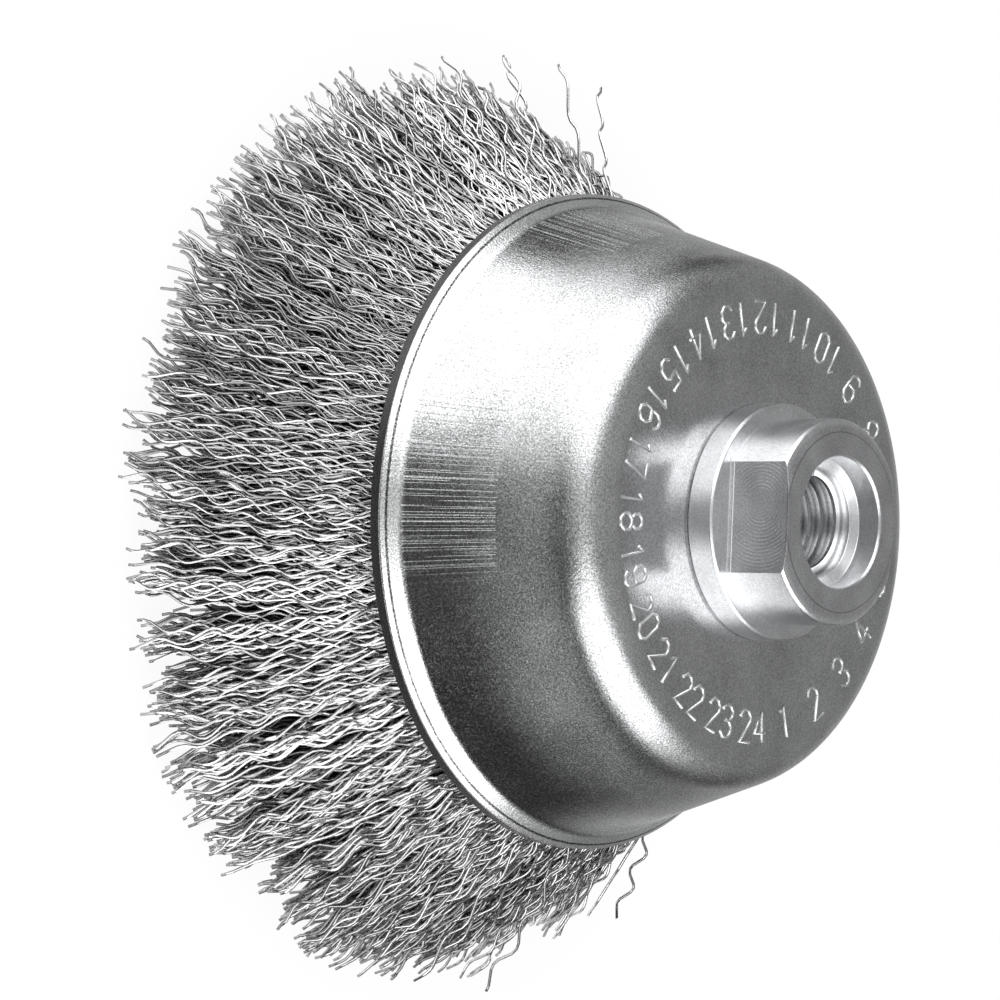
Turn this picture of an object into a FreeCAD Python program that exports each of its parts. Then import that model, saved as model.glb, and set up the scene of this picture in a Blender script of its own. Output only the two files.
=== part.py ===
import FreeCAD, Part

# Crimped-wire cup brush for an angle grinder: a pressed cup, a turned nut riveted through it,
# an inner plate, a holding ring and bundles of crimped wire folded over that ring.
# Millimetres. The spindle axis is Z, the nut is on top, and the wire face stands on Z = 0.
import math
import os
import sys

import Sketcher

V = FreeCAD.Vector

SIZES = {
    # Cup: pressed from one sheet, wall leaning in towards the crown, lip turned outwards
    "sheet": 1.5,
    "cup_height": 26.7,
    "rim_radius": 42.5,
    "wall_angle": 17.5,
    "shoulder_bend": 6.6,
    "lip_bend": 1.5,
    "lip_flat": 0.3,
    # Inner plate: a disc under the crown with a skirt parallel to the cup's wall
    "plate_sheet": 1.5,
    "channel_width": 11.0,
    "skirt_depth": 14.7,
    "skirt_bend": 3.2,
    # Drive nut, M14 x 2, with the collar that seats on the crown
    "spigot_radius": 10.0,
    "body_radius": 13.0,
    "collar_step": 2.0,
    "collar_height": 3.9,
    "body_height": 8.9,
    "flat_spacing": 22.0,
    "end_chamfer_width": 1.75,
    "end_chamfer_height": 0.45,
    "thread_core_radius": 5.918,
    "mouth_radius": 8.2,
    "mouth_depth": 3.3,
    "mouth_cone": 1.2,
    "rivet_step": 1.8,
    "rivet_height": 1.2,
    # Holding ring, and the room left between it, the wires and the sheet
    "ring_wire_radius": 1.5,
    "wire_gap": 0.3,
    "crown_room": 0.5,
    # Crimped wire
    "bundle_count": 48,
    "wire_reach": 27.5,
    "face_flare": 16.5,
    "face_band": 23.0,
    "face_depth": 3.2,
    "bundle_share": 0.88,
    "front_share": 0.5,
    "crimp_pitch": 7.0,
    "crimp_share": 0.13,
}

doc = FreeCAD.newDocument("wire_cup_brush")
sheet = doc.addObject("Spreadsheet::Sheet", "sizes")
for row, (alias, number) in enumerate(SIZES.items(), start=1):
    sheet.set(f"A{row}", alias)
    sheet.set(f"B{row}", str(number))
    sheet.setAlias(f"B{row}", alias)
doc.recompute()


def bound(formula):
    """The formula with each size's name pointed at its cell of the sheet."""
    words = []
    word = ""
    for letter in formula + " ":
        if letter.isalnum() or letter in "_.":
            word += letter
            continue
        words.append(f"sizes.{word}" if word in SIZES else word)
        words.append(letter)
        word = ""
    return "".join(words).strip()


def value(formula):
    """What the formula comes to, as a number."""
    return float(sheet.evalExpression(bound(formula)))


# Heights and corners that several pieces share
CROWN = "(wire_reach + cup_height)"
CROWN_UNDER = f"({CROWN} - sheet)"
CORNER_SHARE = "(1 - sin(wall_angle)) / cos(wall_angle)"
LIP_CORNER = f"(rim_radius - lip_flat - lip_bend * {CORNER_SHARE})"
SHOULDER_CORNER = f"({LIP_CORNER} - cup_height * tan(wall_angle))"
WALL_INSIDE = f"({SHOULDER_CORNER} - sheet * {CORNER_SHARE})"
SKIRT_CORNER = f"({WALL_INSIDE} - channel_width)"
SKIRT_FOOT = f"({CROWN_UNDER} - skirt_depth)"
SKIRT_FOOT_RADIUS = f"({SKIRT_CORNER} + skirt_depth * tan(wall_angle))"
# The ring hangs in the middle of the channel, which is as wide at every height
RING_DROP = "(channel_width / 2 + crown_room)"
RING_HEIGHT = f"({CROWN_UNDER} - {RING_DROP})"
RING_RADIUS = f"({SKIRT_CORNER} + channel_width / 2 + {RING_DROP} * tan(wall_angle))"
COLLAR_RADIUS = "(body_radius + collar_step)"
RIVET_RADIUS = "(spigot_radius + rivet_step)"
FACE_RADIUS = "(rim_radius + face_flare)"


def plane(body, role):
    """The body's own origin plane with that role."""
    for feature in body.Origin.OriginFeatures:
        if feature.Role == role:
            return feature


def new_body(label):
    body = doc.addObject("PartDesign::Body", label)
    body.Label = label
    return body


def new_sketch(body, name, role, offset="0"):
    """A sketch on one of the body's own planes, moved along its normal by a formula."""
    sketch = body.newObject("Sketcher::SketchObject", name)
    sketch.AttachmentSupport = [(plane(body, role), "")]
    sketch.MapMode = "FlatFace"
    if offset != "0":
        sketch.setExpression("AttachmentOffset.Base.z", bound(offset))
    doc.recompute()
    return sketch


def place_point(sketch, geometry, end, across, up):
    """Hold one point of the sketch at the distances that two formulas give."""
    for kind, formula in (("DistanceX", across), ("DistanceY", up)):
        held = Sketcher.Constraint(kind, -1, 1, geometry, end, value(formula))
        number = sketch.addConstraint(held)
        sketch.setExpression(f"Constraints[{number}]", bound(formula))


def closed_outline(sketch, corners):
    """Lines from corner to corner, each (across, up) or (across, up, bend radius)."""
    points = [V(value(c[0]), value(c[1]), 0) for c in corners]
    bends = [c[2] if len(c) > 2 else None for c in corners]
    count = len(corners)

    def tangent_length(i):
        """How far from corner i its bend meets the lines."""
        if bends[i] is None:
            return 0.0
        back = (points[i - 1] - points[i]).normalize()
        ahead = (points[(i + 1) % count] - points[i]).normalize()
        return value(bends[i]) / math.tan(back.getAngle(ahead) / 2)

    lines = []
    for i in range(count):
        j = (i + 1) % count
        along = (points[j] - points[i]).normalize()
        start = points[i] + along * tangent_length(i)
        end = points[j] - along * tangent_length(j)
        lines.append(sketch.addGeometry(Part.LineSegment(start, end)))
    for i, corner in enumerate(corners):
        before, after = lines[i - 1], lines[i]
        if bends[i] is None:
            sketch.addConstraint(Sketcher.Constraint("Coincident", before, 2, after, 1))
            place_point(sketch, after, 1, corner[0], corner[1])
            continue
        back = (points[i - 1] - points[i]).normalize()
        ahead = (points[(i + 1) % count] - points[i]).normalize()
        radius = value(bends[i])
        middle = (back + ahead).normalize()
        centre = points[i] + middle * (radius / math.sin(back.getAngle(ahead) / 2))
        first = points[i] + back * tangent_length(i)
        last = points[i] + ahead * tangent_length(i)
        nearest = centre - middle * radius
        arc = sketch.addGeometry(Part.Arc(first, nearest, last))
        turned = (first - centre).cross(last - centre).z < 0
        first_end, last_end = (2, 1) if turned else (1, 2)
        sketch.addConstraint(Sketcher.Constraint("Tangent", before, 2, arc, first_end))
        sketch.addConstraint(Sketcher.Constraint("Tangent", arc, last_end, after, 1))
        number = sketch.addConstraint(Sketcher.Constraint("Radius", arc, radius))
        sketch.setExpression(f"Constraints[{number}]", bound(bends[i]))
        sharp = sketch.addGeometry(Part.Point(points[i]), True)
        sketch.addConstraint(Sketcher.Constraint("PointOnObject", sharp, 1, before))
        sketch.addConstraint(Sketcher.Constraint("PointOnObject", sharp, 1, after))
        place_point(sketch, sharp, 1, corner[0], corner[1])


def turned(body, name, corners):
    """A solid turned about Z from a closed outline of (radius, height) corners."""
    sketch = new_sketch(body, f"{name}_outline", "XZ_Plane")
    closed_outline(sketch, corners)
    turning = body.newObject("PartDesign::Revolution", name)
    turning.Profile = sketch
    turning.ReferenceAxis = (sketch, ["V_Axis"])
    turning.Angle = 360.0
    doc.recompute()
    return turning


def make_cup():
    """Pressed cup: crown, rounded shoulder, leaning wall and outward lip in one sheet."""
    inner_corner = f"sheet * {CORNER_SHARE}"
    turned(new_body("cup"), "cup_shell", [
        ("spigot_radius", CROWN),
        (SHOULDER_CORNER, CROWN, "shoulder_bend"),
        (LIP_CORNER, "wire_reach", "lip_bend"),
        ("rim_radius", "wire_reach"),
        ("rim_radius", "wire_reach - sheet"),
        (f"{LIP_CORNER} - {inner_corner}", "wire_reach - sheet", "lip_bend + sheet"),
        (WALL_INSIDE, CROWN_UNDER, "shoulder_bend - sheet"),
        ("spigot_radius", CROWN_UNDER),
    ])


def make_inner_plate():
    """Pressed plate under the crown, its skirt parallel to the cup's wall."""
    turned(new_body("inner_plate"), "plate_shell", [
        ("spigot_radius", CROWN_UNDER),
        (SKIRT_CORNER, CROWN_UNDER, "skirt_bend"),
        (SKIRT_FOOT_RADIUS, SKIRT_FOOT),
        (f"{SKIRT_FOOT_RADIUS} - plate_sheet / cos(wall_angle)", SKIRT_FOOT),
        (f"{SKIRT_CORNER} - plate_sheet * {CORNER_SHARE}", f"{CROWN_UNDER} - plate_sheet",
         "skirt_bend - plate_sheet"),
        ("spigot_radius", f"{CROWN_UNDER} - plate_sheet"),
    ])


def make_spindle_nut():
    """Turned nut: riveted spigot, collar, body with two wrench flats, threaded bore."""
    body = new_body("spindle_nut")
    plate_under = f"{CROWN_UNDER} - plate_sheet"
    foot = f"{plate_under} - rivet_height"
    collar_top = f"{CROWN} + collar_height"
    top = f"{CROWN} + collar_height + body_height"
    turned(body, "nut_blank", [
        ("thread_core_radius", foot),
        (RIVET_RADIUS, foot),
        (RIVET_RADIUS, plate_under),
        ("spigot_radius", plate_under),
        ("spigot_radius", CROWN),
        (COLLAR_RADIUS, CROWN),
        (COLLAR_RADIUS, collar_top),
        ("body_radius", collar_top),
        ("body_radius", f"{top} - end_chamfer_height"),
        ("body_radius - end_chamfer_width", top),
        ("mouth_radius", top),
        ("mouth_radius", f"{top} - mouth_depth"),
        ("thread_core_radius", f"{top} - mouth_depth - mouth_cone"),
    ])
    sketch = new_sketch(body, "flats_outline", "XY_Plane", top)
    for near, far in (("flat_spacing / 2", COLLAR_RADIUS),
                      (f"-{COLLAR_RADIUS}", "-flat_spacing / 2")):
        closed_outline(sketch, [
            (f"-{COLLAR_RADIUS}", near),
            (COLLAR_RADIUS, near),
            (COLLAR_RADIUS, far),
            (f"-{COLLAR_RADIUS}", far),
        ])
    flats = body.newObject("PartDesign::Pocket", "wrench_flats")
    flats.Profile = sketch
    flats.setExpression("Length", bound("body_height"))
    doc.recompute()


def make_holding_ring():
    """Steel wire ring in the middle of the channel between cup wall and skirt."""
    ring = doc.addObject("Part::Torus", "holding_ring")
    ring.Label = "holding_ring"
    ring.setExpression("Radius1", bound(RING_RADIUS))
    ring.setExpression("Radius2", bound("ring_wire_radius"))
    ring.setExpression("Placement.Base.z", bound(RING_HEIGHT))


# Crimp length of the outer strand's legs, in crimp pitches. The inner strand, which the outer
# one hides, has straight legs.
OUTER_LEG_CRIMP = 1.0
INNER_LEG_CRIMP = 1.7
# Bearings at which a strand's fold over the ring has its corners
FOLD_TURNS = (0, 60, 120, 180)
# Rows of legs across the wire face: an outer and an inner strand, each with two legs
FACE_ROWS = 4
# Each bundle's first crimp starts a different part of a step along, spread evenly
FIRST_STEP = 0.7
STEP_SPREAD = 0.618
# The shortest last crimp before the tips, as a share of a step
LAST_STEP = 1 / 3


class Channel:
    """The wires' room in a half plane (radius, height), read from the sheet."""

    def __init__(self):
        lean = math.radians(value("wall_angle"))
        self.ring = V(value(RING_RADIUS), 0, value(RING_HEIGHT))
        self.out = V(math.cos(lean), 0, math.sin(lean))
        self.down = V(math.sin(lean), 0, -math.cos(lean))
        half_width = value("channel_width") / 2 * math.cos(lean)
        gap = value("wire_gap")
        self.depth = (half_width - value("ring_wire_radius") - 3 * gap) / 2
        inner_row = value("ring_wire_radius") + gap + self.depth / 2
        self.rows = (inner_row + gap + self.depth, inner_row)
        self.face_depth = value("face_depth")

    def face_row(self, row, side):
        """Radius at which a row meets the wire face: row 0 is outermost on each side."""
        middle = value(FACE_RADIUS) - value("face_band") / 2
        spacing = (value("face_band") - self.face_depth) / (FACE_ROWS - 1)
        return middle + side * spacing * ((FACE_ROWS - 1) / 2 - row)


def leg(channel, row, side, pitches, shift):
    """One leg of a folded strand, from the ring down to the wire face.

    Each entry is (centre, outward normal, depth, sideways swing) in the half plane. Each
    crimp is as long as the given number of crimp pitches, with none if that is None, and
    shift moves the first one.
    """
    offset = channel.out * (side * channel.rows[row])
    free_height = value("wire_reach") if side > 0 else value(SKIRT_FOOT)
    along = (channel.ring.z + offset.z - free_height) / -channel.down.z
    leaving = channel.ring + offset + channel.down * along
    tip = V(channel.face_row(row, side), 0, 0)
    length = (tip - leaving).Length
    normal = channel.out * side
    stations = [(leaving, normal, channel.depth, 0.0)]
    if pitches is None:
        return stations + [(tip, V(side, 0, 0), channel.face_depth, 0.0)]
    step = value("crimp_pitch") / 2 * pitches
    travelled = step * shift
    swing = side
    while travelled < length - step * LAST_STEP:
        part = travelled / length
        centre = leaving + (tip - leaving) * part
        depth = channel.depth + (channel.face_depth - channel.depth) * part
        stations.append((centre, normal, depth, swing))
        travelled += step
        swing = -swing
    stations.append((tip, V(side, 0, 0), channel.face_depth, swing / 2))
    return stations


def facet(*corners):
    """A flat face through three corners."""
    return Part.Face(Part.makePolygon(list(corners) + [corners[0]]))


def solid_through(sections):
    """A closed solid through sections of as many corners, with flat facets all round."""
    facets = [facet(*sections[0]), facet(*sections[-1])]
    count = len(sections[0])
    for before, after in zip(sections, sections[1:]):
        for i in range(count):
            j = (i + 1) % count
            facets.append(facet(before[i], before[j], after[j]))
            facets.append(facet(before[i], after[j], after[i]))
    solid = Part.Solid(Part.Shell(facets))
    if solid.Volume < 0:
        solid.reverse()
    return solid


def strand(channel, row, angle, crimps, front_share, shift):
    """One folded strand: up one leg, over the ring and down the other.

    Its sections narrow from the back to a front of front_share, or to a ridge if that is 0.
    """
    outer = leg(channel, row, 1, crimps[0], shift)
    inner = leg(channel, row, -1, crimps[1], shift)
    fold = []
    for turn in FOLD_TURNS:
        bearing = math.radians(turn)
        normal = channel.out * math.cos(bearing) - channel.down * math.sin(bearing)
        centre = channel.ring + normal * channel.rows[row]
        fold.append((centre, normal, channel.depth, 0.0))
    sections = []
    for centre, normal, depth, sway in outer[::-1] + fold + inner:
        pitch = 2 * math.pi * centre.x / value("bundle_count")
        middle = centre + V(0, pitch * value("crimp_share") * sway, 0)
        back_edge = V(0, pitch * value("bundle_share") / 2, 0)
        front = middle + normal * (depth / 2)
        back = middle - normal * (depth / 2)
        if front_share:
            front_edge = back_edge * front_share
            sections.append((front + front_edge, back + back_edge,
                             back - back_edge, front - front_edge))
        else:
            sections.append((front, back + back_edge, back - back_edge))
    solid = solid_through(sections)
    solid.rotate(V(0, 0, 0), V(0, 0, 1), angle)
    return solid


def make_wire_bundles():
    """Bundles of crimped wire round the ring: an outer strand and a nested inner one."""
    channel = Channel()
    count = int(value("bundle_count"))
    pitch_angle = 360.0 / count
    for i in range(count):
        shift = FIRST_STEP + (1 - FIRST_STEP) * ((i * STEP_SPREAD) % 1.0)
        outer = strand(channel, 0, i * pitch_angle, (OUTER_LEG_CRIMP, INNER_LEG_CRIMP),
                       value("front_share"), shift)
        inner = strand(channel, 1, (i + 0.5) * pitch_angle, (None, None), 0, shift)
        bundle = doc.addObject("Part::Feature", f"wire_bundle_{i + 1:02d}")
        bundle.Label = bundle.Name
        bundle.Shape = Part.makeCompound([outer, inner])


make_cup()
make_inner_plate()
make_spindle_nut()
make_holding_ring()
make_wire_bundles()
doc.recompute()

PIECES = [o for o in doc.Objects
          if o.TypeId in ("PartDesign::Body", "Part::Torus", "Part::Feature")]
faults = [o.Label for o in doc.Objects if {"Invalid", "Error"} & set(o.State)]
faults += [p.Label for p in PIECES if p.Shape.isNull() or not p.Shape.isValid()]
if faults:
    sys.exit("These did not build: " + ", ".join(faults))

os.makedirs("parts", exist_ok=True)
for piece in PIECES:
    piece.Shape.exportStep(f"parts/{piece.Label}.step")
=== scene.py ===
import math

import bpy
import numpy as np
from mathutils import Matrix, Vector


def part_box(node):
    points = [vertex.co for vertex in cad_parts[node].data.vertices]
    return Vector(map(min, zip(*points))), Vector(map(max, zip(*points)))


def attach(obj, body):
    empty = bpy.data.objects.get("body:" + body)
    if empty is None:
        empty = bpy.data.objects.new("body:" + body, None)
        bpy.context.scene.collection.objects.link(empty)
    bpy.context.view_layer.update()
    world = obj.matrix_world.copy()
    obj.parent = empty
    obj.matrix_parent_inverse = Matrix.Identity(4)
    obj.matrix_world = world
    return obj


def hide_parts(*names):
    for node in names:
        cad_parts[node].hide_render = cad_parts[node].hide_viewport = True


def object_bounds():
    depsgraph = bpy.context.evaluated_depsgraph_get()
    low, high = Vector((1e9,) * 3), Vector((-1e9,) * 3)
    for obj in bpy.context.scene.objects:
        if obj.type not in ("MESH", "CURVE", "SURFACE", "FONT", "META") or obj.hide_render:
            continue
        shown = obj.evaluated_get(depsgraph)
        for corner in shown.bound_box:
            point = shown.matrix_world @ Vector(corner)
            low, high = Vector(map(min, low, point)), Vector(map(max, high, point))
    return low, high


# Crimped-wire cup brush: the inner plate and holding ring keep their solids, the cup gets the
# slope of its lip, the nut its thread and edges, and the bundles become single crimped wires.
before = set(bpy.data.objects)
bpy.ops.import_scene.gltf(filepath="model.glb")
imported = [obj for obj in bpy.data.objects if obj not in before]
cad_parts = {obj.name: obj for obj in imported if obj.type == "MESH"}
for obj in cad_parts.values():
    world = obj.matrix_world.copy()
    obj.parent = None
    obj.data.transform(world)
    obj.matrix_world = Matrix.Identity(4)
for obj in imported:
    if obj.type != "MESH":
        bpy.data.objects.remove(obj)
cad_low, cad_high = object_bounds()
MM = 0.001

# Sizes read from the frame
CUP_FOOT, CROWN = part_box("cup")[0][2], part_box("cup")[1][2]
RIM_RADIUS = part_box("cup")[1][0]
NUT_FOOT, NUT_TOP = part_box("spindle_nut")[0][2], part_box("spindle_nut")[1][2]
COLLAR_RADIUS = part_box("spindle_nut")[1][0]
FLARE_RADIUS = cad_high[0]
RING_HEIGHT = (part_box("holding_ring")[0][2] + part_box("holding_ring")[1][2]) / 2
RING_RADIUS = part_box("holding_ring")[1][0] - 1.5 * MM
SKIRT_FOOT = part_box("inner_plate")[0][2]
BUNDLES = sorted(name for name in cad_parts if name.startswith("wire_bundle"))

# Pressed cup
SHEET = 1.5 * MM
RIM_PLANE = CUP_FOOT + SHEET
WALL_LEAN = math.radians(17.5)
SHOULDER_BEND = 6.6 * MM
LIP_BEND = 1.5 * MM
LIP_FLAT = 0.3 * MM
LIP_HEIGHT = 1.8 * MM
LIP_FOOT_BEND = 2.2 * MM
LIP_EDGE_RISE = 0.1 * MM
LIP_EDGE_BEND, LIP_UNDER_BEND = 0.15 * MM, 0.1 * MM
BEND_STEPS = 12

# Spindle nut
SPIGOT_RADIUS = 10.0 * MM
RIVET_RADIUS = 11.8 * MM
COLLAR_TOP = CROWN + 3.9 * MM
BODY_RADIUS = 13.0 * MM
FLAT_DISTANCE = 11.0 * MM
END_CHAMFER_WIDTH, END_CHAMFER_HEIGHT = 1.75 * MM, 0.45 * MM
MOUTH_RADIUS = 8.2 * MM
MOUTH_DEPTH = 3.3 * MM
MOUTH_CONE = 1.2 * MM
EDGE_BREAK = 0.3 * MM
EDGE_BEVEL = 0.15 * MM
TURNED_STEPS = 128
MERGE_DISTANCE = 0.001 * MM

# Internal thread of the nut, its tooth's root and crest in shares of the pitch
THREAD_PITCH = 2.0 * MM
TOOTH_ROOT_SHARE, TOOTH_CREST_SHARE = 0.875, 0.25
THREAD_CREST = 5.918 * MM
THREAD_ROOT = 7.0 * MM
THREAD_FLANK = math.radians(30)
THREAD_IN_WALL = 0.25 * MM
THREAD_STEPS_A_TURN = 64

# The view: NEAR points from the spindle's axis to the side nearest the camera
VIEW_TURN = math.radians(3.6)
VIEW_TILT = math.radians(49.64)
AXIS = Vector((0, 0, 1))
NEAR = Vector((math.sin(VIEW_TURN), -math.cos(VIEW_TURN), 0))
ACROSS = Vector((-math.cos(VIEW_TURN), -math.sin(VIEW_TURN), 0))
NEAR_BEARING = math.atan2(NEAR.y, NEAR.x)


def direction(bearing, elevation):
    """A direction by its bearing from the near side towards ACROSS, and its elevation."""
    bearing, elevation = math.radians(bearing), math.radians(elevation)
    level = NEAR * math.cos(bearing) + ACROSS * math.sin(bearing)
    return level * math.cos(elevation) + AXIS * math.sin(elevation)


def deselect_all():
    bpy.ops.object.select_all(action="DESELECT")


def select_only(piece):
    deselect_all()
    piece.select_set(True)
    bpy.context.view_layer.objects.active = piece


def applied(piece, kind, **settings):
    """Put a modifier on the piece and apply it."""
    select_only(piece)
    modifier = piece.modifiers.new(kind.title(), kind)
    for name, setting in settings.items():
        setattr(modifier, name, setting)
    bpy.ops.object.modifier_apply(modifier=modifier.name)


def smoothed(piece, angle):
    """Shade the piece smooth across edges below the angle, with its flat faces kept flat."""
    select_only(piece)
    bpy.ops.object.shade_smooth_by_angle(angle=math.radians(angle))
    applied(piece, "WEIGHTED_NORMAL", keep_sharp=True)


def settle(piece):
    """Put the piece's place into its mesh, so that its object sits at the origin."""
    select_only(piece)
    bpy.ops.object.transform_apply(location=True, rotation=True, scale=True)


def joined(pieces, name):
    """One piece from several."""
    select_only(pieces[0])
    for piece in pieces:
        piece.select_set(True)
    bpy.ops.object.join()
    whole = bpy.context.object
    whole.name = whole.data.name = name
    return whole


def finish_piece(piece, material):
    """Give the piece its material, its body and the slot that its finish comes from."""
    piece.data.materials.clear()
    piece.data.materials.append(material)
    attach(piece, "root")


def dress(node, material):
    """Give a kept solid its material."""
    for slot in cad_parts[node].material_slots:
        slot.material = material


# Materials

class Value:
    """An output of a material's nodes. Sums and products of it add Math nodes."""

    def __init__(self, nodes, socket):
        self.nodes = nodes
        self.socket = socket

    def math(self, operation, *others):
        return self.nodes.add("ShaderNodeMath", {"operation": operation},
                              dict(enumerate((self, *others))))

    def __add__(self, other):
        return self.math("ADD", other)

    __radd__ = __add__

    def __mul__(self, other):
        return self.math("MULTIPLY", other)

    __rmul__ = __mul__

    def __sub__(self, other):
        return self.math("SUBTRACT", other)

    def __rsub__(self, other):
        return self.nodes.add("ShaderNodeMath", {"operation": "SUBTRACT"}, {0: other, 1: self})

    def __truediv__(self, other):
        return self.math("DIVIDE", other)

    def __pow__(self, other):
        return self.math("POWER", other)

    def rise(self, low, high):
        """0 below low, 1 above high, and smooth in between."""
        return self.nodes.add("ShaderNodeMapRange", {"interpolation_type": "SMOOTHSTEP"},
                              {"Value": self, "From Min": low, "From Max": high})

    def between(self, low, high, blur):
        """1 between low and high, and 0 outside, with blurred ends."""
        return self.rise(low - blur, low + blur) * (1 - self.rise(high - blur, high + blur))

    def near(self, middle, reach, blur):
        """1 within reach of the middle, and 0 outside, with blurred ends."""
        return self.between(middle - reach, middle + reach, blur)

    def sway(self, share):
        """Changes from minus half the share at 0 to plus half the share at 1."""
        return (self - 0.5) * share


class Nodes:
    """The nodes of a material, or of the world."""

    def __init__(self, owner):
        owner.use_nodes = True
        self.tree = owner.node_tree

    def add(self, kind, settings=None, inputs=None, output=0):
        node = self.tree.nodes.new(kind)
        for name, setting in (settings or {}).items():
            if name == "stops":
                self.set_stops(node.color_ramp, setting)
            else:
                setattr(node, name, setting)
        for place, source in (inputs or {}).items():
            self.feed(node.inputs[place], source)
        return Value(self, node.outputs[output])

    def set_stops(self, ramp, stops):
        while len(ramp.elements) < len(stops):
            ramp.elements.new(1.0)
        for element, (place, colour) in zip(ramp.elements, stops):
            element.position = place
            element.color = colour

    def feed(self, socket, source):
        if isinstance(source, Value):
            self.tree.links.new(source.socket, socket)
        else:
            socket.default_value = source

    def place(self):
        """Position on the piece, in metres."""
        return self.add("ShaderNodeTexCoord", output="Object")

    def parts(self, vector):
        """The x, y and z of a vector, and its distance from the spindle's axis."""
        split = self.add("ShaderNodeSeparateXYZ", inputs={0: vector}).socket.node
        x, y, z = (Value(self, split.outputs[i]) for i in range(3))
        return x, y, z, (x * x + y * y) ** 0.5

    def vector(self, x, y, z):
        return self.add("ShaderNodeCombineXYZ", inputs={0: x, 1: y, 2: z})

    def rays(self, *kinds):
        """Whether a ray is of each kind."""
        path = self.add("ShaderNodeLightPath").socket.node
        return [Value(self, path.outputs[f"Is {kind} Ray"]) for kind in kinds]

    def noise(self, vector, size, detail=2.0, roughness=0.5):
        """Noise from 0 to 1 whose grains are about that size."""
        return self.add("ShaderNodeTexNoise", inputs={
            "Vector": vector, "Scale": 1 / size, "Detail": detail, "Roughness": roughness})

    def tint(self, mix, dark, light):
        """A colour between dark at 0 and light at 1."""
        stops = [(0.0, (*dark, 1.0)), (1.0, (*light, 1.0))]
        return self.add("ShaderNodeValToRGB", {"stops": stops}, {0: mix})

    def bump(self, height, distance, under=None):
        """A normal from a height of 0 to 1 that stands that far proud, over another bump."""
        inputs = {"Height": height, "Distance": distance, "Strength": 1.0}
        if under is not None:
            inputs["Normal"] = under
        return self.add("ShaderNodeBump", inputs=inputs)


def metal(build):
    """A metal whose base colour, roughness and normal come from build(nodes)."""
    material = bpy.data.materials.new(build.__name__)
    nodes = Nodes(material)
    shader = nodes.tree.nodes["Principled BSDF"]
    shader.inputs["Metallic"].default_value = 1.0
    for socket, source in build(nodes).items():
        nodes.feed(shader.inputs[socket], source)
    return material


# Finish of the plated sheet: sizes of its grain, its specks, its frost and its clouds
GRAIN_SIZE, SPECK_SIZE, FROST_SIZE, CLOUD_SIZE = 0.3 * MM, 0.22 * MM, 0.26 * MM, 9 * MM
SPECK_CUT, FROST_CUT = (0.3, 0.7), (0.5, 0.62)
GRAIN_HEIGHT = 0.035 * MM
SHEET_DARK, SHEET_LIGHT = (0.05, 0.05, 0.05), (0.92, 0.93, 0.94)
CROWN_TO_WALL = (29 * MM, 33 * MM)
# Lines drawn up the wall, and where: bearing from the near side, half width and strength
DRAWN_LOW, DRAWN_HIGH, DRAWN_BLUR = RIM_PLANE + 1.9 * MM, RIM_PLANE + 13.9 * MM, 0.12 * MM
DRAWN_SPACING, DRAWN_STRETCH, DRAWN_CUT = 1 / 210, 0.12, (0.56, 0.64)
DRAWN_DEPTH = 0.03 * MM
DRAWN_EVERYWHERE = 0.04
DRAWN_ZONES = ((11, 14, 1.7), (-3, 10, 0.5), (76, 12, 1.2), (150, 20, 1.0), (215, 15, 0.8))
# The lip, made lighter as a painted highlight, its scored line and its dark cut edge
LIP_TOP = (RIM_PLANE + 1.5 * MM, RIM_PLANE + 2.3 * MM)
LIP_LINE, LIP_LINE_REACH, LIP_LINE_BLUR = RIM_RADIUS - 0.6 * MM, 0.12 * MM, 0.05 * MM
CUT_EDGE_RADIUS = (RIM_RADIUS - 0.3 * MM, RIM_RADIUS - 0.1 * MM)
CUT_EDGE_TOP = (RIM_PLANE - 0.2 * MM, RIM_PLANE - 0.05 * MM)
# Heights over which the wall turns dull, and shiny again at the shoulder
DULL_RISE = (RIM_PLANE + 6 * MM, RIM_PLANE + 17 * MM)
SHINY_RISE = (CROWN - 8 * MM, CROWN - 3 * MM)


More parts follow.
